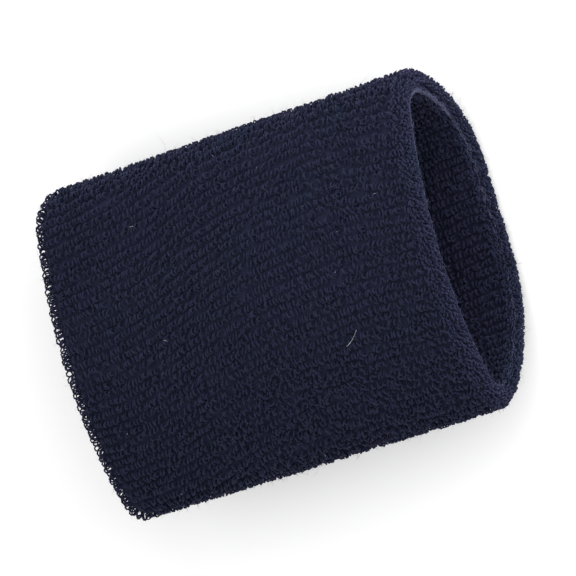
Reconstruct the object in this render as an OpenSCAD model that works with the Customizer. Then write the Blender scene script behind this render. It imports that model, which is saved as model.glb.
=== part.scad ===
// Sweat wristband: one terry tube turned back on itself into a double wall,
// lying relaxed and half open on a table. The arm passes along X.

/* [Band] */
// Length along the arm, from one folded edge to the other
band_length = 100; // [70:1:130]
// Width across the band as it lies relaxed
band_width = 77; // [64:1:94]
// Height of the band as it lies relaxed
band_height = 36.5; // [30:0.5:46]
// Outside radius of the two side bends
side_radius = 10; // [8:0.5:13]
// Height of the centre of the side bends, in a band of its usual height
side_height = 21.5; // [17:0.5:23]
// Half width of the flat patch that lies on the table
rest_half_width = 9.5; // [6:0.5:16]
// Angle by which the two ends of the relaxed band lie out of square
slant_angle = 7; // [0:1:12]

/* [Fabric] */
// Height of the terry loops above the ground knit
pile_height = 1.9; // [1.2:0.1:2.4]
// Thickness of the ground knit that holds the loops
ground_thickness = 0.6; // [0.4:0.05:0.8]

/* [Elastic] */
// Thickness of one laid-in elastic yarn, which the knit presses flat
elastic_thickness = 0.45; // [0.3:0.05:0.6]
// Width of one laid-in elastic yarn
elastic_width = 0.7; // [0.5:0.05:1]
// Distance between neighbouring elastic yarns of one layer
elastic_pitch = 5; // [3:0.5:10]
// Free space above and below an elastic yarn
elastic_clearance = 0.1; // [0.05:0.05:0.2]

/* [Seam] */
// Distance from the rear folded edge to the closing seam
seam_from_rear = 16; // [12:1:30]
// Width of the line without loops that the seam leaves
seam_groove = 1.8; // [1.2:0.1:3]
// Depth of the line without loops that the seam leaves, in loops of their usual height
seam_depth = 1.6; // [1:0.1:1.8]
// Width of the raw edges turned in behind the seam
allowance_width = 4; // [2:0.5:6]
// Thickness of the seam's two running threads
thread_thickness = 0.44; // [0.3:0.02:0.5]
// Thickness of the thread in the cross stitches
stitch_thickness = 0.36; // [0.24:0.02:0.4]
// Distance between neighbouring cross stitches
stitch_pitch = 2.4; // [1.6:0.1:4]

/* [Hidden] */

terry_colour = [0.10, 0.11, 0.19];
ground_colour = [0.08, 0.09, 0.15];
elastic_colour = [0.75, 0.74, 0.70];
thread_colour = [0.14, 0.15, 0.25];

// The side bends follow the band's height, and the seam's groove follows the height of the loops.
usual_height = 36.5;
usual_pile_height = 1.9;
height_share = band_height / usual_height;
pile_share = pile_height / usual_pile_height;

// Between the two layers there is room for both sets of elastic, one over the other.
layer_gap = 2 * elastic_thickness + 3 * elastic_clearance;
wall = 2 * (pile_height + ground_thickness) + layer_gap;
fold_radius = wall / 2;
straight_half = band_length / 2 - fold_radius;
slant = tan(slant_angle);

// The outline across the arm is a flat, two bottom arcs, two side arcs and a top arc, each
// tangent to the next, so every layer is the same outline moved inwards.
side_y = band_width / 2 - side_radius;
side_z = side_height * height_share;
top_rise = band_height - side_z;
top_radius = (side_y ^ 2 + top_rise ^ 2 - side_radius ^ 2) / (2 * (top_rise - side_radius));
top_angle = atan2(top_radius - top_rise, side_y);
bottom_reach = side_y - rest_half_width;
bottom_radius = (bottom_reach ^ 2 + side_z ^ 2 - side_radius ^ 2) / (2 * (side_z - side_radius));
bottom_angle = atan2(bottom_radius - side_z, bottom_reach);

// Each arc, anticlockwise from the flat: centre Y, centre Z, outside radius, start angle, sweep.
// The side and top arcs are split at the widest and highest points.
arcs = [
  [rest_half_width, bottom_radius, bottom_radius, 270, 90 - bottom_angle],
  [side_y, side_z, side_radius, -bottom_angle, bottom_angle],
  [side_y, side_z, side_radius, 0, top_angle],
  [0, band_height - top_radius, top_radius, top_angle, 90 - top_angle],
  [0, band_height - top_radius, top_radius, 90, 90 - top_angle],
  [-side_y, side_z, side_radius, 180 - top_angle, top_angle],
  [-side_y, side_z, side_radius, 180, bottom_angle],
  [-rest_half_width, bottom_radius, bottom_radius, 180 + bottom_angle, 90 - bottom_angle]
];
outline_chord = 3;
fold_steps = 6;

// Every layer takes the same number of steps along an arc, so neighbours meet face to face.
function arc_steps(arc) = max(2, ceil(arc[2] * arc[4] * PI / 180 / outline_chord));
function arc_point(arc, turn, depth) =
  [arc[0] + (arc[2] - depth) * cos(turn), arc[1] + (arc[2] - depth) * sin(turn)];
function outline(depth) = concat(
  [
    for (arc = arcs)
      for (i = [0 : arc_steps(arc) - 1])
        arc_point(arc, arc[3] + arc[4] * i / arc_steps(arc), depth)
  ],
  [[-rest_half_width, depth]]
);

// Depths below the outside of the band, and places along the arm
outer_elastic_depth = pile_height + ground_thickness + elastic_clearance;
lining_elastic_depth = outer_elastic_depth + elastic_thickness + elastic_clearance;
seam_x = seam_from_rear - band_length / 2;
groove_floor = wall - seam_depth * pile_share;
ground_slit = 0.3;
side_clearance = 0.1;

// The elastic lies all along the band but for the stretch that the turned-in edges fill.
elastic_count = floor((straight_half - elastic_width) / elastic_pitch);
function clear_of_allowance(x) =
  x < seam_x - elastic_width || x > seam_x + allowance_width + elastic_width;

// The space between two places along the arm, slanted as the band's ends are
module slanted_slab(start_x, end_x) {
  rotate([0, 0, -slant_angle])
    translate([start_x * cos(slant_angle), -band_width, -band_height])
      cube([(end_x - start_x) * cos(slant_angle), 2 * band_width, 3 * band_height]);
}

// A layer of the wall between two depths and two places along the arm
module ring(outer_depth, inner_depth, start_x, end_x) {
  reach = slant * band_width;
  intersection() {
    translate([start_x - reach, 0, 0])
      rotate([90, 0, 90])
        linear_extrude(height = end_x - start_x + 2 * reach)
          difference() {
            polygon(outline(outer_depth));
            polygon(outline(inner_depth));
          }
    slanted_slab(start_x, end_x);
  }
}

// Sweeps a closed profile round the band. Each of its points is a depth and a place along
// the arm.
module swept_ring(profile) {
  loops = [for (p = profile) [for (q = outline(p[0])) [p[1] + slant * q[0], q[0], q[1]]]];
  turns = len(loops[0]);
  rows = len(profile);
  polyhedron(
    points = [for (loop = loops) each loop],
    faces = [
      for (j = [0 : rows - 1])
        for (i = [0 : turns - 1])
          let (k = (j + 1) % rows, n = (i + 1) % turns)
            [j * turns + i, k * turns + i, k * turns + n, j * turns + n]
    ]
  );
}

function reversed(list) = [for (i = [len(list) - 1 : -1 : 0]) list[i]];

// Half circle over one folded edge, from the outside face to the lining; end is 1 or -1.
function fold_arc(half, end) = [
  for (i = [0 : fold_steps])
    let (turn = 180 * i / fold_steps)
      [fold_radius - half * cos(turn), end * (straight_half + half * sin(turn))]
];

// The slot shape of one face of the knitted tube, open at the seam
function tube_face(half) = concat(
  [[fold_radius + half, seam_x - ground_slit / 2]],
  reversed(fold_arc(half, -1)),
  fold_arc(half, 1),
  [[fold_radius + half, seam_x + ground_slit / 2]]
);

// Sets copies of a small shape round the band, each with +Y pointing out of the fabric.
module spaced_around(depth, pitch) {
  for (arc = arcs) {
    count = max(1, round((arc[2] - depth) * arc[4] * PI / 180 / pitch));
    for (i = [0 : count - 1]) {
      turn = arc[3] + (i + 0.5) * arc[4] / count;
      place = arc_point(arc, turn, depth);
      translate([slant * place[0], place[0], place[1]])
        rotate([turn, 0, 0]) children();
    }
  }
  flat_count = max(1, round(2 * rest_half_width / pitch));
  for (i = [0 : flat_count - 1]) {
    place = ((i + 0.5) / flat_count * 2 - 1) * rest_half_width;
    translate([slant * place, place, depth])
      rotate([-90, 0, 0]) children();
  }
}

// Loops over one folded edge; end is 1 at the front and -1 at the rear.
module fold_terry(end) {
  outside = fold_arc(fold_radius, end);
  inside = fold_arc(fold_radius - pile_height, end);
  profile = concat(outside, reversed(inside));
  color(terry_colour) swept_ring(end > 0 ? profile : reversed(profile));
}

// Elastic yarns of one layer, one ring each
module elastic_yarns(depth, shift) {
  color(elastic_colour)
    for (i = [-elastic_count : elastic_count]) {
      x = i * elastic_pitch + shift;
      if (clear_of_allowance(x) && x < straight_half - elastic_width)
        ring(depth, depth + elastic_thickness, x - elastic_width / 2, x + elastic_width / 2);
    }
}

// Loops on the face that shows
module outer_terry() {
  color(terry_colour) ring(0, pile_height, -straight_half, straight_half);
}

// Loops over the folded edge at the front opening
module front_fold_terry() {
  fold_terry(1);
}

// Loops over the folded edge at the rear opening
module rear_fold_terry() {
  fold_terry(-1);
}

// Loops against the skin, parted by the line of the seam
module wrist_side_terry() {
  groove_start = seam_x - seam_groove / 2;
  groove_end = seam_x + seam_groove / 2;
  color(terry_colour) {
    ring(wall - pile_height, groove_floor, -straight_half, straight_half);
    ring(groove_floor, wall, -straight_half, groove_start);
    ring(groove_floor, wall, groove_end, straight_half);
  }
}

// The knitted tube itself: outer layer, both folds and lining in one, open only at the seam
module ground_knit_tube() {
  outside = tube_face(fold_radius - pile_height);
  inside = tube_face(fold_radius - pile_height - ground_thickness);
  color(ground_colour) swept_ring(concat(outside, reversed(inside)));
}

// Elastic yarns laid into the outer layer
module outer_elastic_yarns() {
  elastic_yarns(outer_elastic_depth, 0);
}

// Elastic yarns laid into the lining, half a pitch along from the outer ones
module lining_elastic_yarns() {
  elastic_yarns(lining_elastic_depth, elastic_pitch / 2);
}

// The tube's two raw ends, turned in and lying flat behind the seam
module seam_allowance() {
  color(ground_colour)
    for (depth = [outer_elastic_depth, lining_elastic_depth])
      ring(depth, depth + elastic_thickness, seam_x, seam_x + allowance_width);
}

// Two running threads and the cross stitches that close the tube
module closing_seam_thread() {
  reach = seam_groove / 2 - side_clearance;
  color(thread_colour) {
    for (start = [seam_x - reach, seam_x + reach - thread_thickness])
      ring(groove_floor, groove_floor + thread_thickness, start, start + thread_thickness);
    spaced_around(groove_floor + thread_thickness / 2, stitch_pitch)
      translate([seam_x, 0, 0])
        cube([2 * reach, stitch_thickness, stitch_thickness], center = true);
  }
}

outer_terry();
front_fold_terry();
rear_fold_terry();
wrist_side_terry();
ground_knit_tube();
outer_elastic_yarns();
lining_elastic_yarns();
seam_allowance();
closing_seam_thread();
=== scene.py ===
import math

import bpy
import numpy as np
from mathutils import Matrix, Vector


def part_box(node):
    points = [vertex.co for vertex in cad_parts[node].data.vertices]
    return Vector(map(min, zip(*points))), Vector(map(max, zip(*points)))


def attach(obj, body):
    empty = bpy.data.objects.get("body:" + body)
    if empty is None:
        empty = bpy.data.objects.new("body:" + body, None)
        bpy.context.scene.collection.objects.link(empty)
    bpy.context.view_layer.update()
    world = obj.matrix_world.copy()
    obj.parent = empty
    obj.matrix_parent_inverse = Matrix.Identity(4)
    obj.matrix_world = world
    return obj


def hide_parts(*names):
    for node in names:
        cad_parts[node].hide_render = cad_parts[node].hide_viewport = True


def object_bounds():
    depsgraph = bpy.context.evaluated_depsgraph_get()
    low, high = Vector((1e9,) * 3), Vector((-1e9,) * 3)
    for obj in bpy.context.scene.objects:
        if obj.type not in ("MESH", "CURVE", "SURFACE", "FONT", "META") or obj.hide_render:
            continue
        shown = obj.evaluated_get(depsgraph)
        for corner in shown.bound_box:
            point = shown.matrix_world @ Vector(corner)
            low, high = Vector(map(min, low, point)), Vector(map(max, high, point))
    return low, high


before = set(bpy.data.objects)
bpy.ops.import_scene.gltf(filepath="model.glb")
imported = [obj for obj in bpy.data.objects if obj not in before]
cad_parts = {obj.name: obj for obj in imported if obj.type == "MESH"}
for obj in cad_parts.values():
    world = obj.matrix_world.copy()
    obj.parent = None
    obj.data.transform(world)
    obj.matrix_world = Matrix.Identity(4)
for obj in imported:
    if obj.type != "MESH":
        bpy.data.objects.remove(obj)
CAD_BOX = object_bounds()

MM = 0.001
SEED = 11

# The band's outline across the arm, as in the CAD
SIDE_RADIUS = 10 * MM
SIDE_HEIGHT = 21.5 * MM
FLAT_HALF = 9.5 * MM
SLANT = math.tan(math.radians(7))
HALF_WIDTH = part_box("outer_terry")[1].y
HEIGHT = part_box("outer_terry")[1].z
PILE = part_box("ground_knit_tube")[0].z
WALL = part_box("wrist_side_terry")[0].z + PILE
FOLD = WALL / 2
HALF_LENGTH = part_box("front_fold_terry")[1].x - SLANT * (HALF_WIDTH - FOLD)
STRAIGHT = HALF_LENGTH - FOLD
ALONG_ARM = np.array([1.0, 0, 0])

# The closing seam: half widths of the line without loops and of the stitches across it, the
# loops left standing below it, and its threads
SEAM_X = sum(v.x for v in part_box("closing_seam_thread")) / 2
SEAM_HALF = 0.9 * MM
SEAM_REACH = 0.8 * MM
SEAM_FLOOR = 0.3 * MM
SEAM_THREAD = 0.44 * MM
STITCH = 0.36 * MM
STITCH_PITCH = 2.4 * MM

# The knitted tube, how far its face stands up among the roots of the loops, and what lies
# between its two layers
GROUND = 0.6 * MM
ROOTS = 0.15 * MM
CLEARANCE = 0.1 * MM
ELASTIC_THICK = 0.45 * MM
ELASTIC_WIDE = 0.7 * MM
ELASTIC_PITCH = 5 * MM
ALLOWANCE_WIDE = 4 * MM
OUTER_ELASTIC = PILE + GROUND + CLEARANCE
LINING_ELASTIC = OUTER_ELASTIC + ELASTIC_THICK + CLEARANCE

# The pile: rows round the band, distances between its courses, and courses over each fold
WALES = 88
COURSE_PITCH = 0.87 * MM
LINING_PITCH = 0.97 * MM
FRONT_COURSES = 12
REAR_COURSES = 7
LOOP_HEIGHT = 1.80 * MM
UNDER_HEIGHT = 1.45 * MM
# Half width and yarn radius of the loops of each kind
OUTER_LOOP = (0.63 * MM, 0.205 * MM)
LINING_LOOP = (0.56 * MM, 0.25 * MM)
FRONT_LOOP = (0.38 * MM, 0.18 * MM)
REAR_LOOP = (0.80 * MM, 0.20 * MM)
UNDER_LOOP = (0.45 * MM, 0.19 * MM)
# Points along one loop, and the most loops with so many points in one piece
OUTER_POINTS = 8
LINING_POINTS = 6
MAX_OUTER_LOOPS = 2200
MAX_LINING_LOOPS = 3200
YARN_SIDES = 5

# How many of each: places tried for a loop between the rows, and loose fibres
UNDER_LOOPS = 8000
FUZZ_FIBRES = 19000
FUZZ_PIECES = 3
EDGE_FIBRES = 1200
LINT_SPECKS = 60
FLUFF_SPECKS = 900
FIBRE_SIDES = 3
# Share of the way round at which the painted highlight along the front fold's edge is strongest
EDGE_HIGHLIGHT_SHARE = 0.21

# The camera, as tilts away from straight above, and the lens for its distance
TILT_X = math.radians(32.0)
TILT_Y = math.radians(-9.3)
ROLL = math.radians(18.3)
CAMERA_DISTANCE = 1.5
LENS = 430.0
SENSOR = 36
AIM_RIGHT = 1.34 * MM
AIM_UP = 1.31 * MM


def outline_arcs():
    """Centre y and z, radius, start and sweep of each arc, anticlockwise from the flat."""
    side = HALF_WIDTH - SIDE_RADIUS
    rise = HEIGHT - SIDE_HEIGHT
    top = (side**2 + rise**2 - SIDE_RADIUS**2) / (2 * (rise - SIDE_RADIUS))
    top_turn = math.atan2(top - rise, side)
    reach = side - FLAT_HALF
    low = (reach**2 + SIDE_HEIGHT**2 - SIDE_RADIUS**2) / (2 * (SIDE_HEIGHT - SIDE_RADIUS))
    low_turn = math.atan2(low - SIDE_HEIGHT, reach)
    quarter = math.pi / 2
    return np.array([
        (FLAT_HALF, low, low, -quarter, quarter - low_turn),
        (side, SIDE_HEIGHT, SIDE_RADIUS, -low_turn, low_turn + top_turn),
        (0, HEIGHT - top, top, top_turn, math.pi - 2 * top_turn),
        (-side, SIDE_HEIGHT, SIDE_RADIUS, math.pi - top_turn, low_turn + top_turn),
        (-FLAT_HALF, low, low, math.pi + low_turn, quarter - low_turn),
    ])


ARCS = outline_arcs()
PART_LENGTHS = np.append((ARCS[:, 2] - PILE) * ARCS[:, 4], 2 * FLAT_HALF)
PART_ENDS = np.cumsum(PART_LENGTHS)
GIRTH = PART_ENDS[-1]


def around(share, depth):
    """Points at a share of the way round and a depth below the outside, and the way out there."""
    place = (share % 1.0) * GIRTH
    part = np.minimum(np.searchsorted(PART_ENDS, place, side="right"), len(PART_ENDS) - 1)
    t = 1 - (PART_ENDS[part] - place) / PART_LENGTHS[part]
    flat = part == len(ARCS)
    arc = ARCS[np.minimum(part, len(ARCS) - 1)]
    turn = np.where(flat, -math.pi / 2, arc[..., 3] + arc[..., 4] * t)
    out = np.stack([np.zeros_like(turn), np.cos(turn), np.sin(turn)], -1)
    reach = arc[..., 2] - depth
    y = np.where(flat, (2 * t - 1) * FLAT_HALF, arc[..., 0] + reach * out[..., 1])
    z = np.where(flat, depth, arc[..., 1] + reach * out[..., 2])
    return np.stack([np.zeros_like(y), y, z], -1), out


def wander(along, share, seed, size, waves=5):
    """A smooth seeded wandering of the given size over the cloth."""
    rng = np.random.default_rng(seed)
    total = np.zeros(np.broadcast(along, share).shape)
    for _ in range(waves):
        length = rng.uniform(28, 80) * MM
        turns = rng.integers(1, 5)
        phase = rng.uniform(0, 2 * math.pi, 2)
        total += np.sin(2 * math.pi * along / length + phase[0]) * np.sin(
            2 * math.pi * turns * share + phase[1])
    return size * total / math.sqrt(waves)


def row_wave(wale, along, seed, size, shortest, longest, waves=3):
    """A seeded wave along each row of loops, with no two rows alike."""
    rng = np.random.default_rng(seed)
    phase = rng.uniform(0, 2 * math.pi, (waves, WALES))
    total = np.zeros(len(wale))
    for i in range(waves):
        length = rng.uniform(shortest, longest, WALES)[wale]
        total += np.sin(2 * math.pi * along / length + phase[i][wale])
    return size * total / math.sqrt(waves)


def hump(along, middle, width):
    """A smooth hump, 1 at its middle."""
    return np.exp(-((along - middle) / width) ** 2)


def row_slope(along):
    """How far a row of loops climbs round the band per unit of length."""
    return 0.27 * hump(along, -13 * MM, 25 * MM) - 0.08 * hump(along, 40 * MM, 13 * MM)


def row_shift(along):
    """How far a row has climbed round the band at a place along the arm."""
    x = np.linspace(-HALF_LENGTH, HALF_LENGTH, 600)
    slope = row_slope(x)
    shift = np.concatenate([[0], np.cumsum((slope[1:] + slope[:-1]) / 2 * np.diff(x))])
    return np.interp(along, x, shift - shift[len(x) // 2])


def row_share(wale, along):
    """Share of the way round at which a row of loops lies."""
    share = wale / WALES - row_shift(along) / GIRTH
    return share + wander(along, share, SEED + 1, 0.35 * MM) / GIRTH


def climb(value, start, end):
    """0 below start, 1 above end, and an even climb between them."""
    return np.clip((value - start) / (end - start), 0, 1)


def tangle(along, share):
    """How tangled the pile is, 0 to 1: most low on the left side and towards the front."""
    share = share % 1.0
    low = climb(share, 0.46, 0.55) * (1 - climb(share, 0.65, 0.75))
    front = climb(along, 8 * MM, 34 * MM)
    return np.maximum(0.3 * front, 0.6 * low * climb(along, -34 * MM, 2 * MM))


def slanted(points):
    """The band's cloth lies out of square, so everything shifts along the arm with y."""
    points = points.copy()
    points[..., 0] += SLANT * points[..., 1]
    return points


def on_table(points):
    """Keeps the cloth above the table: what would sink through it is pressed flat."""
    points = points.copy()
    soft = 0.12 * MM
    z = points[..., 2]
    points[..., 2] = np.where(z < soft, soft * np.exp(np.minimum((z - soft) / soft, 0)), z)
    return points


def make_object(name, points, faces, slot, node, uvs=None, look=None):
    """One mesh object from points and a list of face arrays, riding on the band."""
    mesh = bpy.data.meshes.new(name)
    corners = np.concatenate([f.ravel() for f in faces])
    sizes = np.concatenate([np.full(len(f), f.shape[1]) for f in faces])
    starts = np.concatenate([[0], np.cumsum(sizes)[:-1]])
    mesh.vertices.add(len(points))
    mesh.vertices.foreach_set("co", np.asarray(points, np.float32).ravel())
    mesh.loops.add(len(corners))
    mesh.loops.foreach_set("vertex_index", corners.astype(np.int32))
    mesh.polygons.add(len(sizes))
    mesh.polygons.foreach_set("loop_start", starts.astype(np.int32))
    mesh.polygons.foreach_set("use_smooth", np.ones(len(sizes), bool))
    mesh.update(calc_edges=True)
    if uvs is not None:
        layer = mesh.uv_layers.new(name="OFBake")
        layer.data.foreach_set("uv", np.asarray(uvs, np.float32).ravel())
    mesh.materials.append(MATERIALS[look or slot])
    piece = bpy.data.objects.new(name, mesh)
    bpy.context.scene.collection.objects.link(piece)
    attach(piece, "root")
    if node:
        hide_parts(node)
    return piece


def tube_faces(count, points, sides):
    """Quads and end caps of many open tubes whose vertices run tube by tube, ring by ring."""
    ring = np.arange(sides)
    quad = np.stack([ring, (ring + 1) % sides, (ring + 1) % sides + sides, ring + sides], -1)
    one = (quad[None] + sides * np.arange(points - 1)[:, None, None]).reshape(-1, 4)
    offset = points * sides * np.arange(count)
    quads = (one[None] + offset[:, None, None]).reshape(-1, 4)
    last = (points - 1) * sides
    caps = np.concatenate([ring[::-1][None] + offset[:, None], ring[None] + last + offset[:, None]])
    return quads, caps


def tube_uvs(count, points, sides):
    """Each tube gets its own small square of the map: along it one way, round it the other."""
    margin = 0.1
    grid = math.ceil(math.sqrt(count))
    cell = np.stack([np.arange(count) % grid, np.arange(count) // grid], -1)
    ring = np.arange(sides)
    row = np.arange(points - 1)
    u = np.broadcast_to(np.stack([row, row, row + 1, row + 1], -1)[:, None] / (points - 1),
                        (points - 1, sides, 4))
    v = np.broadcast_to(np.stack([ring, ring + 1, ring + 1, ring], -1)[None] / sides,
                        (points - 1, sides, 4))
    inside = np.stack([u, v], -1).reshape(-1, 2) * (1 - 2 * margin) + margin
    quads = ((cell[:, None] + inside[None]) / grid).reshape(-1, 2)
    turn = 2 * math.pi * ring / sides
    disc = np.stack([np.cos(turn), np.sin(turn)], -1) * 0.4 * margin + margin / 2
    caps = ((cell[:, None] + disc[None]) / grid).reshape(-1, 2)
    return np.concatenate([quads, caps, caps + (1 - margin) / grid])


def tubes(lines, radius, side_axis, up_axis, sides):
    """Ring points of tubes along lines (n, points, 3), with their two section axes."""
    turn = 2 * math.pi * np.arange(sides) / sides
    radius = np.asarray(radius)[..., None, None] * np.ones(lines.shape[:2] + (1, 1))
    return lines[:, :, None] + radius * (
        np.cos(turn)[:, None] * side_axis[:, :, None] + np.sin(turn)[:, None] * up_axis[:, :, None])


def unit(v):
    """Vectors scaled to length 1."""
    return v / np.maximum(np.linalg.norm(v, axis=-1, keepdims=True), 1e-12)


def loops(base, up, along, half_width, height, radius, points, rng, mess):
    """Many pile loops: each rises from base along up, and its row runs along `along`. Its feet
    start in the knit, and its turn, lean, size and sway are uneven, more so the more mess."""
    count, sink = len(base), 0.12 * MM
    mess = np.broadcast_to(mess, count)[:, None]
    across = unit(np.cross(up, along))
    twist = rng.normal(0, 1, (count, 1)) * (0.14 + 0.55 * mess)
    across, along = (across * np.cos(twist) + along * np.sin(twist),
                     along * np.cos(twist) - across * np.sin(twist))
    lean = rng.normal(0, 1, (count, 1)) * (0.15 + 0.15 * mess)
    up = unit(up + along * np.tan(lean) + across * rng.normal(0, 0.10, (count, 1)))
    along = unit(np.cross(across, up))
    half_width = (half_width * rng.normal(1, 0.09, count)).clip(half_width * 0.7, half_width * 1.3)
    height = height * rng.normal(1, 0.07, count).clip(0.75, 1.08)
    foot = math.radians(50)
    turn = np.linspace(math.pi + foot, -foot, points)[None]
    side = half_width[:, None] * np.cos(turn)
    rise = height[:, None] * (np.sin(turn) + math.sin(foot)) / (1 + math.sin(foot)) - sink
    share = np.linspace(0, 1, points)[None]
    sway = rng.normal(0, 0.13 * MM, (count, 1)) * np.sin(2 * math.pi * share)
    lines = (base[:, None] + side[..., None] * across[:, None] + rise[..., None] * up[:, None]
             + sway[..., None] * along[:, None])
    outward = unit(np.cos(turn)[..., None] * height[:, None, None] * across[:, None]
                   + np.sin(turn)[..., None] * half_width[:, None, None] * up[:, None])
    thick = radius * rng.normal(1, 0.07, (count, 1)) * (1 + 0.06 * np.sin(math.pi * share))
    return tubes(lines, thick, outward, np.broadcast_to(along[:, None], outward.shape), YARN_SIDES)


def cloth_frame(share, along, depth, out_part, along_part):
    """Base points on the ground knit, the way off it, and the way a row runs there."""
    point, out = around(share, depth)
    point[..., 0] = along
    x = np.zeros_like(point)
    x[..., 0] = 1
    up = out * out_part[..., None] + x * along_part[..., None]
    row = x * out_part[..., None] - out * along_part[..., None]
    return point, up, row


def turned_row(up, row, slope):
    """The way a row runs once its climb round the band is added."""
    across = np.cross(up, row)
    angle = np.arctan(slope)[..., None]
    return row * np.cos(angle) - across * np.sin(angle)


def fold_places(end, turns):
    """Place along and depth of loops over a fold, and the two parts of the way off the knit."""
    reach = FOLD - PILE
    along = end * (STRAIGHT + reach * np.sin(turns))
    return along, FOLD - reach * np.cos(turns), np.cos(turns), end * np.sin(turns)


def face_places(along, wale, face, radius, seed):
    """The same for loops of a face, clear of folds and seam, and the rows that they are in."""
    along = along + (wale % 2) * 0.5 * COURSE_PITCH
    along = along + wander(along, wale / WALES, seed, 0.25 * MM)
    keep = np.abs(along) < STRAIGHT
    if face < 0:
        keep &= np.abs(along - SEAM_X) > SEAM_HALF + radius
    along, wale = along[keep], wale[keep]
    depth = np.full(len(along), PILE if face > 0 else WALL - PILE)
    return (along, depth, np.full(len(along), float(face)), np.zeros(len(along))), wale


def laid_over(up, row, rank, along, share, face, seed):
    """The way loops stand once they lie over: in slow patches, and in short waves in each row."""
    lie = wander(along, share, seed + 7, 0.25, 8) + 0.3 * face
    lie = lie + row_wave(rank, along, seed + 9, 0.22, 3 * MM, 8 * MM)
    side_lie = wander(along, share, seed + 8, 0.18, 8)
    side_lie = side_lie + row_wave(rank, along, seed + 10, 0.16, 4 * MM, 12 * MM)
    return unit(up + row * lie[:, None] + np.cross(up, row) * side_lie[:, None])


def build_loops(name, node, courses, turns, face, size, seed, look=None, dense=1):
    """The pile of one face: face 1 outside, -1 against the skin, 0 over a fold, where each
    course has a turn. Each row is `dense` loops wide."""
    rng = np.random.default_rng(seed)
    wale, course = np.meshgrid(np.arange(dense * WALES) / dense, np.arange(len(courses)))
    wale, course = wale.ravel(), course.ravel()
    along = courses[course] + rng.normal(0, 0.10 * MM, len(course))
    if face == 0:
        turns = turns[course] + rng.normal(0, 0.05, len(course))
        along, depth, out_part, along_part = fold_places(np.sign(along), turns)
    else:
        places, wale = face_places(along, wale, face, size[1], seed + 5)
        along, depth, out_part, along_part = places
    share = row_share(wale, along)
    mess = tangle(along, share) if face > 0 else np.zeros(len(wale))
    share = share + rng.normal(0, 0.07 * MM, len(wale)) * (1 + 5 * mess) / GIRTH
    rank = wale.astype(int)
    share = share + row_wave(rank, along, SEED + 2, 0.22 * MM, 14 * MM, 40 * MM) / GIRTH
    if face == 0:
        share = share + (course % 2) * 0.5 / WALES / dense
    base, up, row = cloth_frame(share, along, depth, out_part, along_part)
    swirl = wander(along, share, seed + 6, 0.22, 8)
    row = turned_row(up, row, row_slope(along) * out_part - SLANT + swirl)
    up = laid_over(up, row, rank, along, share, face, seed)
    points = LINING_POINTS if face < 0 else OUTER_POINTS
    rings = loops(base, up, row, size[0], LOOP_HEIGHT, size[1], points, rng, mess)
    make_loops(name, node, rings, MAX_LINING_LOOPS if face < 0 else MAX_OUTER_LOOPS, look)
    return rings


def make_loops(name, node, rings, limit, look=None):
    """Mesh objects of many loops, no more than `limit` loops in each."""
    points, sides = rings.shape[1:3]
    parts = math.ceil(len(rings) / limit)
    for i, group in enumerate(np.array_split(np.arange(len(rings)), parts)):
        shape = on_table(slanted(rings[group])).reshape(-1, 3)
        faces = tube_faces(len(group), points, sides)
        label = name if parts == 1 else f"{name}_{i + 1}"
        uvs = tube_uvs(len(group), points, sides)
        make_object(label, shape, faces, "terry_pile", node, uvs, look)


def course_places(pitch):
    """Places of the courses of one face, evenly spaced from fold to fold."""
    count = round(2 * STRAIGHT / pitch)
    return (np.arange(count) + 0.5) / count * 2 * STRAIGHT - STRAIGHT


def fold_courses(end, count):
    """Places of the courses over one fold: all at its end, each at its own turn."""
    return np.full(count, end * STRAIGHT), (np.arange(count) + 0.5) / count * math.pi


def build_under_loops(seed):
    """Shorter loops that stand between the rows outside, most of them where the pile is tangled."""
    rng = np.random.default_rng(seed)
    share, along = rng.uniform(0, 1, UNDER_LOOPS), rng.uniform(-STRAIGHT, STRAIGHT, UNDER_LOOPS)
    bends = np.abs(around(share, 0)[1][:, 1]) > 0.75
    keep = rng.uniform(0, 1, UNDER_LOOPS) < 0.12 + 0.88 * np.maximum(tangle(along, share), bends)
    share, along = share[keep], along[keep]
    face = np.ones(len(share))
    base, up, row = cloth_frame(share, along, PILE * face, face, 0 * face)
    mess = 0.4 + 0.6 * tangle(along, share)
    half_width, radius = UNDER_LOOP
    rings = loops(base, up, row, half_width, UNDER_HEIGHT, radius, LINING_POINTS, rng, mess)
    make_loops("under_loops", "outer_terry", rings, MAX_LINING_LOOPS)


def build_pile():
    """All the loops, outside, over both folds and against the skin. Gives those that show."""
    outer = build_loops("outer_loops", "outer_terry", course_places(COURSE_PITCH), None, 1,
                        OUTER_LOOP, SEED + 20)
    # The front fold's loops take a lighter copy of the cotton: painted light on the lit rim.
    front = build_loops("front_rim_loops", "front_fold_terry", *fold_courses(1, FRONT_COURSES), 0,
                        FRONT_LOOP, SEED + 21, "rim_pile", 2)
    rear = build_loops("rear_rim_loops", "rear_fold_terry", *fold_courses(-1, REAR_COURSES), 0,
                       REAR_LOOP, SEED + 22)
    build_under_loops(SEED + 24)
    build_loops("skin_side_loops", "wrist_side_terry", course_places(LINING_PITCH), None, -1,
                LINING_LOOP, SEED + 23)
    return outer, front, rear


def ring_grid(depth, along, share):
    """Grid of points: rows follow a profile of depths and places, columns go round."""
    grid_depth, grid_share = np.meshgrid(depth, share, indexing="ij")
    grid_along = np.broadcast_to(along[:, None], grid_depth.shape)
    point, out = around(grid_share, grid_depth)
    point[..., 0] = grid_along
    return point, out


def grid_faces(rows, columns):
    """Quads of a grid that closes both round its rows and round its columns."""
    r = np.arange(rows)[:, None]
    c = np.arange(columns)[None]
    r2, c2 = (r + 1) % rows, (c + 1) % columns
    quad = [r * columns + c, r2 * columns + c, r2 * columns + c2, r * columns + c2]
    return np.stack([q.ravel() for q in quad], -1)


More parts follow.
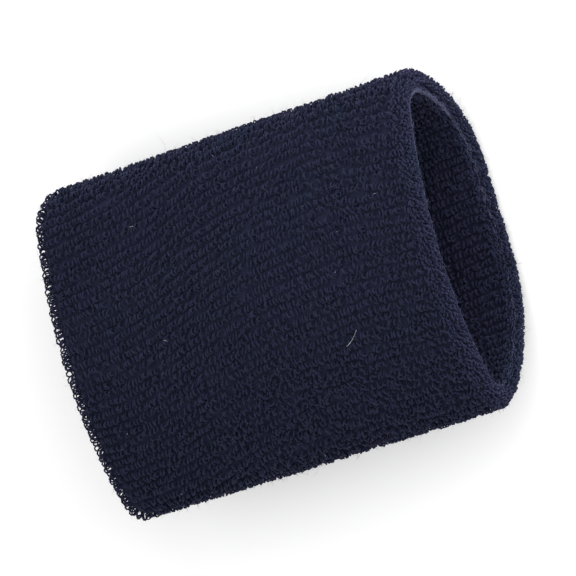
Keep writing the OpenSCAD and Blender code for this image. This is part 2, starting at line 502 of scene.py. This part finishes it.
def knit_profile():
    """The folded tube from the seam round to the seam: where each of its points lies along the
    straight stretch, and its turn, from 0 outside to half a circle in the lining."""
    slit = 0.15 * MM
    fold_turn = np.linspace(0, math.pi, 9)
    rear = np.linspace(SEAM_X - slit, -STRAIGHT, 16)[:-1]
    outside = np.linspace(-STRAIGHT, STRAIGHT, 94)[1:-1]
    front = np.linspace(STRAIGHT, SEAM_X + slit, 79)[1:]
    end = np.full(len(fold_turn), STRAIGHT)
    straight = np.concatenate([rear, -end, outside, end, front])
    turn = np.concatenate([np.full(len(rear), math.pi), -fold_turn[::-1], 0 * outside, fold_turn,
                           np.full(len(front), math.pi)])
    return straight, turn


def build_ground():
    """The knitted tube: ribs along the rows of loops, closed at the seam but for a slit."""
    columns = 2 * WALES
    share = np.arange(columns) / columns
    rib_side = np.where(np.arange(columns) % 2 == 0, 1.0, -1.0)[None, :, None]
    straight, turn = knit_profile()
    out_part, along_part = np.cos(turn), np.sin(turn)
    rows = []
    for half, rib, roots in ((FOLD - PILE, 0.18 * MM, ROOTS), (FOLD - PILE - GROUND, 0.05 * MM, 0)):
        depth, along = FOLD - half * out_part, straight + half * along_part
        grid_share = share[None] - row_shift(along)[:, None] / GIRTH
        point, out = around(grid_share, depth[:, None] + np.zeros_like(grid_share))
        point[..., 0] = along[:, None]
        course = 0.5 * np.sin(2 * math.pi * along / (2 * COURSE_PITCH))[:, None, None]
        lift = roots + rib * 0.5 * (rib_side + course)
        rows.append(point + out * out_part[:, None, None] * lift
                    + ALONG_ARM * along_part[:, None, None] * lift)
    points = np.concatenate([rows[0], rows[1][::-1]])
    faces = grid_faces(len(points), columns)
    shape = on_table(slanted(points)).reshape(-1, 3)
    # The knit's lighter tone is painted light that lifts the shade in the gaps between loops.
    return make_object("ground_knit", shape, [faces[:, ::-1]], "ground_knit", "ground_knit_tube")


def elastic_places(shift):
    """Places along the arm of one layer's rings, clear of the turned-in edges."""
    count = math.floor((STRAIGHT - ELASTIC_WIDE) / ELASTIC_PITCH)
    place = np.arange(-count, count + 1) * ELASTIC_PITCH + shift
    clear = (place < SEAM_X - ELASTIC_WIDE) | (place > SEAM_X + ALLOWANCE_WIDE + ELASTIC_WIDE)
    return place[clear & (place <= STRAIGHT - ELASTIC_WIDE)]


def build_elastic(name, node, depth, shift):
    """Covered rubber yarns: flat rings whose covering winds round them. The part of a yarn's
    size that its radius takes leaves room for the swell of the covering."""
    steps, sides, winds, radius_part = 176, 8, 60, 1 / 2.15
    share = np.arange(steps) / steps
    turn = 2 * math.pi * np.arange(sides) / sides
    middle, out = around(share, np.full(steps, depth + ELASTIC_THICK / 2))
    swell = 1 + 0.07 * np.cos(2 * turn[None] + 2 * math.pi * winds * share[:, None])
    ring = middle[:, None] + out[:, None] * (
        ELASTIC_THICK * radius_part * np.sin(turn) * swell)[..., None]
    ring[..., 0] = ELASTIC_WIDE * radius_part * np.cos(turn) * swell
    places = elastic_places(shift)
    rings = ring[None] + places[:, None, None, None] * ALONG_ARM
    offset = steps * sides * np.arange(len(places))[:, None, None]
    faces = grid_faces(steps, sides)[:, ::-1] + offset
    make_object(name, slanted(rings).reshape(-1, 3), [faces.reshape(-1, 4)], "elastic_yarn", node)


def build_allowance():
    """The two turned-in edges, each a knitted strip with a gently waved free edge."""
    columns, rib, wave, waves = 2 * WALES, 0.015 * MM, 0.10 * MM, 31
    share = np.arange(columns) / columns
    profile_x = np.array([0.02, 0.25, 0.5, 0.75, 0.97, 0.97, 0.75, 0.5, 0.25, 0.02])
    profile_depth = np.array([0.1, 0.02, 0.02, 0.02, 0.15, 0.85, 0.98, 0.98, 0.98, 0.9])
    free_edge = profile_x > 0.9
    rib_side = np.where(np.arange(columns) % 2 == 0, 1, -1)[None, :, None]
    off_strip = np.where(profile_depth > 0.5, -1, 1)[:, None, None]
    points = []
    for start in (OUTER_ELASTIC, LINING_ELASTIC):
        point, out = ring_grid(start + profile_depth * ELASTIC_THICK,
                               SEAM_X + profile_x * ALLOWANCE_WIDE, share)
        point += out * rib * rib_side * off_strip
        point[free_edge, :, 0] += wave * np.sin(2 * math.pi * waves * share)[None]
        points.append(point.reshape(-1, 3))
    faces = grid_faces(len(profile_x), columns)
    both = np.concatenate([faces, faces + len(points[0])])[:, ::-1]
    make_object("turned_in_edges", slanted(np.concatenate(points)), [both], "ground_knit",
                "seam_allowance")


def running_threads(floor):
    """Two threads of two plies each, which run round the band on both sides of the seam."""
    steps, sides, twists = 480, 6, 110
    share = np.arange(steps) / steps
    turn = 2 * math.pi * np.arange(sides) / sides
    wind_radius, ply_radius = 0.23 * SEAM_THREAD, 0.26 * SEAM_THREAD
    middle, out = around(share, np.full(steps, floor + SEAM_THREAD / 2))
    rings, faces = [], []
    for side in (-1, 1):
        for ply in (0, 1):
            wind = 2 * math.pi * (twists * share + ply / 2)
            rise = wind_radius * np.sin(wind)[:, None] + ply_radius * np.sin(turn)[None]
            ring = middle[:, None] + out[:, None] * rise[..., None]
            ring[..., 0] = (SEAM_X + side * (SEAM_REACH - SEAM_THREAD / 2)
                            + wind_radius * np.cos(wind)[:, None] + ply_radius * np.cos(turn)[None])
            faces.append(grid_faces(steps, sides)[:, ::-1] + steps * sides * len(rings))
            rings.append(ring.reshape(-1, 3))
    return np.concatenate(rings), faces


def cross_stitches(floor):
    """The short slanted stitches that bridge the two running threads."""
    sides, sag, skew = 6, 0.25 * MM, 0.35 * MM
    count = round(GIRTH / STITCH_PITCH)
    t = np.linspace(-1, 1, 7)
    base, out = around((np.arange(count) + 0.5) / count, np.full(count, floor + STITCH / 2))
    round_way = np.cross(ALONG_ARM, out)
    lines = (base[:, None] - out[:, None] * (sag * (1 - t**2))[None, :, None]
             + round_way[:, None] * (skew * t)[None, :, None])
    lines[..., 0] = SEAM_X + 0.95 * SEAM_REACH * t[None]
    along = np.broadcast_to(ALONG_ARM, lines.shape)
    up = np.broadcast_to(out[:, None], lines.shape)
    rings = tubes(lines, np.full((count, 1), STITCH / 2), unit(np.cross(along, up)), up, sides)
    return rings.reshape(-1, 3), tube_faces(count, len(t), sides)


def build_seam():
    """The seam that closes the tube, in the line that it leaves between the loops."""
    floor = WALL - PILE + SEAM_FLOOR
    threads, thread_faces = running_threads(floor)
    stitches, stitch_faces = cross_stitches(floor)
    faces = thread_faces + [part + len(threads) for part in stitch_faces]
    make_object("seam_stitches", slanted(np.concatenate([threads, stitches])), faces,
                "seam_thread", "closing_seam_thread")


def fibres(base, way, bend, length, radius, points=5):
    """Fine tapering fibres that start at base and curve from way towards bend."""
    slanting = np.array([0.31, 0.52, 0.79])
    t = np.linspace(0, 1, points)
    length = length[:, None, None]
    lines = base[:, None] + length * (way[:, None] * t[:, None] + bend[:, None] * (t**2)[:, None])
    run = unit(way[:, None] + 2 * bend[:, None] * t[:, None])
    side = unit(np.cross(run, slanting))
    taper = radius[:, None] * (1 - 0.6 * t)[None]
    return tubes(lines, taper, side, np.cross(run, side), FIBRE_SIDES)


def make_fibres(name, shape, look=None):
    """One object of many fibres, laid out as fibres() gives them."""
    count, points = shape.shape[:2]
    make_object(name, on_table(slanted(shape)).reshape(-1, 3),
                tube_faces(count, points, FIBRE_SIDES), "terry_pile", None,
                tube_uvs(count, points, FIBRE_SIDES), look)


def build_fuzz(loop_rings):
    """Loose fibre ends that stand off the yarn of the loops that show."""
    rng = np.random.default_rng(SEED + 40)
    count = FUZZ_FIBRES
    rings = np.concatenate(loop_rings)
    pick = rng.integers(0, len(rings), count)
    place = rng.integers(2, OUTER_POINTS - 2, count)
    side = rng.integers(0, YARN_SIDES, count)
    base = rings[pick, place, side]
    middle = rings[pick, place].mean(1)
    way = unit(unit(base - middle) + rng.normal(0, 0.7, (count, 3)))
    bend = rng.normal(0, 0.45, (count, 3))
    length = rng.gamma(3.0, 0.27, count) * MM
    shape = fibres(base, way, bend, length, rng.uniform(0.02, 0.036, count) * MM)
    for i, group in enumerate(np.array_split(shape, FUZZ_PIECES)):
        make_fibres(f"fibre_fuzz_{i + 1}", group)


def specks(name, rings, count, longest, thickest, look, seed, extra=None):
    """Tiny bits of fibre caught in the loops' tops; extra adds one with its own place and way."""
    rng = np.random.default_rng(seed)
    top = rings[:, OUTER_POINTS // 2].mean(1)
    pick = rng.integers(0, len(top), count)
    point = top[pick] + rng.normal(0, 0.15 * MM, (count, 3))
    way = unit(rng.normal(0, 1, (count, 3)))
    bend = rng.normal(0, 0.8, (count, 3))
    length = rng.uniform(0.3, 1, count) * longest
    thick = rng.uniform(0.5, 1, count) * thickest
    if extra:
        place, extra_way, extra_bend, extra_length, extra_thick = extra
        point = np.concatenate([point, place])
        way = np.concatenate([way, unit(np.array([extra_way]))])
        bend = np.concatenate([bend, [extra_bend]])
        length, thick = np.append(length, extra_length), np.append(thick, extra_thick)
    make_fibres(name, fibres(point, way, bend, length, thick, points=9), look)


def build_edge_highlight():
    """A line of paler fibres along the front fold, where it turns into the lining: the paler colour is
    painted highlight, the fold's edge catching the light.
    """
    rng = np.random.default_rng(SEED + 43)
    count = EDGE_FIBRES
    share = np.concatenate([rng.normal(EDGE_HIGHLIGHT_SHARE, 0.08, 3 * count // 4),
                            rng.uniform(0, 1, count // 4)])
    turn = np.radians(rng.normal(140, 4, count))
    reach = FOLD * 0.98
    point, out = around(share, FOLD - reach * np.cos(turn))
    point[..., 0] = STRAIGHT + reach * np.sin(turn)
    across = np.cross(ALONG_ARM, out) * np.sign(rng.normal(0, 1, (count, 1)))
    way = unit(across + rng.normal(0, 0.22, (count, 3)))
    length = rng.uniform(0.5, 1.5, count) * MM
    bend = rng.normal(0, 0.12, (count, 3))
    # Paler fibres: painted highlight where the fold's edge catches the light.
    make_fibres("edge_highlight_fibres", fibres(point, way, bend, length,
                                     rng.uniform(0.03, 0.05, count) * MM), "edge_highlight_yarn")


def build_lint(loop_rings):
    """Pale lint with one long stray fibre, and many dim specks paler than the pile on the loops' tops.
    """
    stray = around(np.array([0.515]), np.array([-0.2 * MM]))[0]
    stray[..., 0] = 22.6 * MM
    shape = (stray, (0.9, 0.35, 0.05), (-0.10, 0.28, 0.0), 4.4 * MM, 0.055 * MM)
    specks("lint", loop_rings[0], LINT_SPECKS, 0.8 * MM, 0.055 * MM, "lint", SEED + 41, shape)
    specks("pale_specks", np.concatenate(loop_rings), FLUFF_SPECKS, 0.9 * MM, 0.05 * MM, "pale_specks",
           SEED + 42)


def noise(nodes, links, coords, scale, detail, rough):
    """A noise texture in the object's own coordinates."""
    n = nodes.new("ShaderNodeTexNoise")
    n.inputs["Scale"].default_value = scale
    n.inputs["Detail"].default_value = detail
    n.inputs["Roughness"].default_value = rough
    links.new(coords.outputs["Object"], n.inputs["Vector"])
    return n


def tinted(nodes, links, coords, colour):
    """Slow patches of a warmer and a cooler shade over a colour."""
    cast = nodes.new("ShaderNodeValToRGB")
    cast.color_ramp.elements[0].position = 0.38
    cast.color_ramp.elements[1].position = 0.62
    cast.color_ramp.elements[0].color = (0.90, 1.00, 0.98, 1)
    cast.color_ramp.elements[1].color = (1.06, 0.97, 1.03, 1)
    links.new(noise(nodes, links, coords, 75, 2.0, 0.5).outputs["Fac"], cast.inputs["Fac"])
    mix = nodes.new("ShaderNodeMix")
    mix.data_type = "RGBA"
    mix.blend_type = "MULTIPLY"
    mix.inputs["Factor"].default_value = 1.0
    links.new(colour, mix.inputs["A"])
    links.new(cast.outputs["Color"], mix.inputs["B"])
    return mix.outputs["Result"]


def two_tones(nodes, links, patches, fine, dark, light):
    """A colour from dark to light that follows the patches a little more than the fine noise."""
    patch_part = 0.55
    blend = nodes.new("ShaderNodeMath")
    blend.operation = "MULTIPLY_ADD"
    blend.inputs[1].default_value = patch_part
    links.new(patches.outputs["Fac"], blend.inputs[0])
    rest = nodes.new("ShaderNodeMath")
    rest.operation = "MULTIPLY"
    rest.inputs[1].default_value = 1 - patch_part
    links.new(fine.outputs["Fac"], rest.inputs[0])
    links.new(rest.outputs[0], blend.inputs[2])
    ramp = nodes.new("ShaderNodeValToRGB")
    ramp.color_ramp.elements[0].position = 0.33
    ramp.color_ramp.elements[1].position = 0.67
    ramp.color_ramp.elements[0].color = (*dark, 1)
    ramp.color_ramp.elements[1].color = (*light, 1)
    links.new(blend.outputs[0], ramp.inputs["Fac"])
    return ramp.outputs["Color"]


def yarn_material(name, dark, light, rough, sheen, tint, bump):
    """Cotton or thread: two tones in slow patches, fine fibre streaks, soft sheen."""
    mat = bpy.data.materials.new(name)
    mat.use_nodes = True
    nodes, links = mat.node_tree.nodes, mat.node_tree.links
    shader = nodes["Principled BSDF"]
    coords = nodes.new("ShaderNodeTexCoord")
    patches = noise(nodes, links, coords, 420, 2.0, 0.55)
    fine = noise(nodes, links, coords, 2600, 3.0, 0.65)
    colour = two_tones(nodes, links, patches, fine, dark, light)
    links.new(tinted(nodes, links, coords, colour), shader.inputs["Base Color"])
    relief = nodes.new("ShaderNodeBump")
    relief.inputs["Strength"].default_value = bump
    relief.inputs["Distance"].default_value = 0.05 * MM
    links.new(fine.outputs["Fac"], relief.inputs["Height"])
    links.new(relief.outputs["Normal"], shader.inputs["Normal"])
    shader.inputs["Roughness"].default_value = rough
    shader.inputs["Specular IOR Level"].default_value = 0.08
    shader.inputs["Sheen Weight"].default_value = sheen
    shader.inputs["Sheen Roughness"].default_value = 0.45
    shader.inputs["Sheen Tint"].default_value = (*tint, 1)
    return mat


def make_materials():
    """Every material by its slot or look: its dark and light tone, roughness, sheen and bump."""
    return {
        "terry_pile": yarn_material("cotton_terry", (0.0088, 0.0102, 0.0250), (0.0188, 0.0216, 0.0480),
                                    0.85, 0.13, (0.50, 0.52, 0.88), 0.4),
        # Painted light: a lighter copy of the cotton for the lit front rim.
        "rim_pile": yarn_material("cotton_rim_painted_light", (0.0105, 0.0124, 0.030), (0.0230, 0.0265, 0.060),
                                  0.8, 0.12, (0.55, 0.6, 0.95), 0.5),
        # Tone set above the pile's: painted light that lifts the shade between the loops.
        "ground_knit": yarn_material("fine_knit_painted_fill", (0.0105, 0.0122, 0.0285), (0.022, 0.025, 0.053),
                                     0.85, 0.05, (0.5, 0.5, 0.8), 0.4),
        "elastic_yarn": yarn_material("covered_rubber", (0.42, 0.40, 0.36), (0.55, 0.53, 0.48),
                                      0.6, 0.1, (1.0, 1.0, 1.0), 0.3),
        "seam_thread": yarn_material("polyester_thread", (0.016, 0.018, 0.040),
                                     (0.03, 0.035, 0.07), 0.5, 0.1, (0.7, 0.7, 1.0), 0.3),
        # Dim specks, paler than the pile, on the loops' tops.
        "pale_specks": yarn_material("pale_navy_specks", (0.030, 0.033, 0.060), (0.085, 0.09, 0.13),
                               0.8, 0.1, (1.0, 1.0, 1.0), 0.2),
        # Painted highlight: a paler blue tone for the front fold's edge catching the light.
        "edge_highlight_yarn": yarn_material("edge_painted_highlight", (0.05, 0.056, 0.11), (0.12, 0.13, 0.24),
                                   0.7, 0.2, (0.9, 0.9, 1.0), 0.2),
        "lint": yarn_material("pale_lint", (0.40, 0.40, 0.42), (0.75, 0.75, 0.77),
                              0.8, 0.1, (1.0, 1.0, 1.0), 0.2),
    }


def build_floor():
    """The pale table, just below the band so that the two faces don't flicker."""
    bpy.ops.mesh.primitive_plane_add(size=6, location=(0, 0, -0.05 * MM))
    floor = bpy.context.object
    floor.name = "floor"
    mat = bpy.data.materials.new("pale_floor")
    mat.use_nodes = True
    shader = mat.node_tree.nodes["Principled BSDF"]
    shader.inputs["Base Color"].default_value = (0.92, 0.92, 0.92, 1)
    shader.inputs["Roughness"].default_value = 1.0
    shader.inputs["Specular IOR Level"].default_value = 0.0
    shader.inputs["Emission Color"].default_value = (1, 1, 1, 1)
    shader.inputs["Emission Strength"].default_value = 0.22
    floor.data.materials.append(mat)


def camera_axes():
    """The camera's right, up and away from what it looks at."""
    away = Vector((math.sin(TILT_X), -math.sin(TILT_Y) * math.cos(TILT_X),
                   math.cos(TILT_Y) * math.cos(TILT_X)))
    level = (Vector((1, 0, 0)) - away * away.x).normalized()
    upright = away.cross(level)
    right = level * math.cos(ROLL) - upright * math.sin(ROLL)
    up = level * math.sin(ROLL) + upright * math.cos(ROLL)
    return right, up, away


def build_camera():
    """The photo's view, from far off with a long lens."""
    right, up, away = camera_axes()
    centre = (Vector(CAD_BOX[0]) + Vector(CAD_BOX[1])) / 2
    cam = bpy.data.objects.new("camera", bpy.data.cameras.new("camera"))
    place = Matrix((right, up, away)).transposed().to_4x4()
    place.translation = centre + right * AIM_RIGHT + up * AIM_UP + away * CAMERA_DISTANCE
    cam.matrix_world = place
    cam.data.lens = LENS
    cam.data.sensor_width = SENSOR
    cam.data.clip_end = 20
    bpy.context.scene.collection.objects.link(cam)
    bpy.context.scene.camera = cam


def area_light(name, way, distance, size, power):
    """A square soft light that shines on the band from `way`."""
    lamp = bpy.data.lights.new(name, "AREA")
    lamp.shape = "SQUARE"
    lamp.size = size
    lamp.energy = power
    light = bpy.data.objects.new(name, lamp)
    way = Vector(way).normalized()
    light.location = way * distance
    light.rotation_euler = way.to_track_quat("Z", "Y").to_euler()
    bpy.context.scene.collection.objects.link(light)


def build_light():
    """An even white room and one soft light from above the front opening."""
    world = bpy.data.worlds.new("studio")
    bpy.context.scene.world = world
    world.use_nodes = True
    world.node_tree.nodes["Background"].inputs["Color"].default_value = (1, 1, 1, 1)
    world.node_tree.nodes["Background"].inputs["Strength"].default_value = 0.76
    area_light("key", (0.75, 0.50, 0.62), 0.32, 0.40, 1.2)
    bpy.context.scene.view_settings.view_transform = "Standard"


MATERIALS = make_materials()
PILE_RINGS = build_pile()
KNIT = build_ground()
build_elastic("elastic_rings_outer", "outer_elastic_yarns", OUTER_ELASTIC, 0)
build_elastic("elastic_rings_lining", "lining_elastic_yarns", LINING_ELASTIC, ELASTIC_PITCH / 2)
build_allowance()
build_seam()
build_fuzz(PILE_RINGS)
build_edge_highlight()
build_lint(PILE_RINGS)
build_floor()
build_camera()
build_light()
